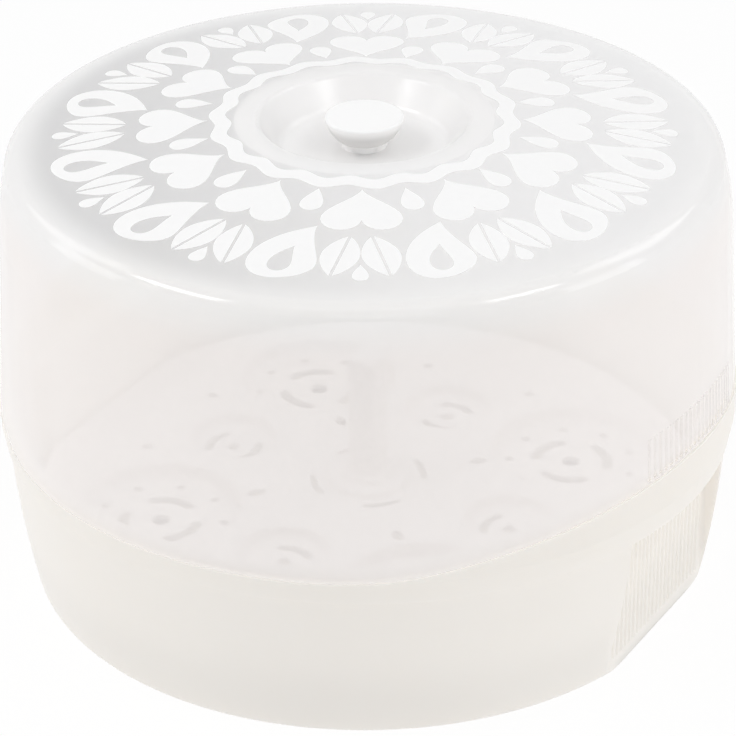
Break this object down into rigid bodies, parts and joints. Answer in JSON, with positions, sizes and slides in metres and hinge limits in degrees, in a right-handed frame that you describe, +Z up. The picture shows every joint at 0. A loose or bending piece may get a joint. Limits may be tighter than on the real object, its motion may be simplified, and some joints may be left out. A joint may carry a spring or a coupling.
{
  "type": "microwave sterilizer",
  "caption": "Round microwave steam sterilizer: tapered water bowl with ribbed side grips, bottle rack with lifting post, and a domed lid with a white knob in a dish.",
  "frame": {"origin": "centre of the face that the bowl stands on", "axes": "+Z up through the knob; +X and -X through the middles of the two ribbed grips"},
  "size_m": [0.274, 0.274, 0.1792],
  "materials": {
    "milky_bowl": "milky translucent polypropylene, satin",
    "rack_plastic": "translucent polypropylene, satin",
    "clear_lid": "clear polypropylene with a slight haze, glossy, white print on top",
    "white_knob": "opaque white, glossy"
  },
  "bodies": {
    "bowl": {"base_bowl": "milky_bowl"},
    "rack": {"bottle_rack": "rack_plastic", "rack_post": "rack_plastic"},
    "cover": {"lid": "clear_lid", "knob": "white_knob"}
  },
  "joints": [
    {"name": "lid_lift", "type": "slide", "parent": "bowl", "child": "cover", "axis": [0, 0, 1], "range_m": [0, 0.2]},
    {"name": "rack_lift", "type": "slide", "parent": "bowl", "child": "rack", "axis": [0, 0, 1], "range_m": [0, 0.075]}
  ]
}
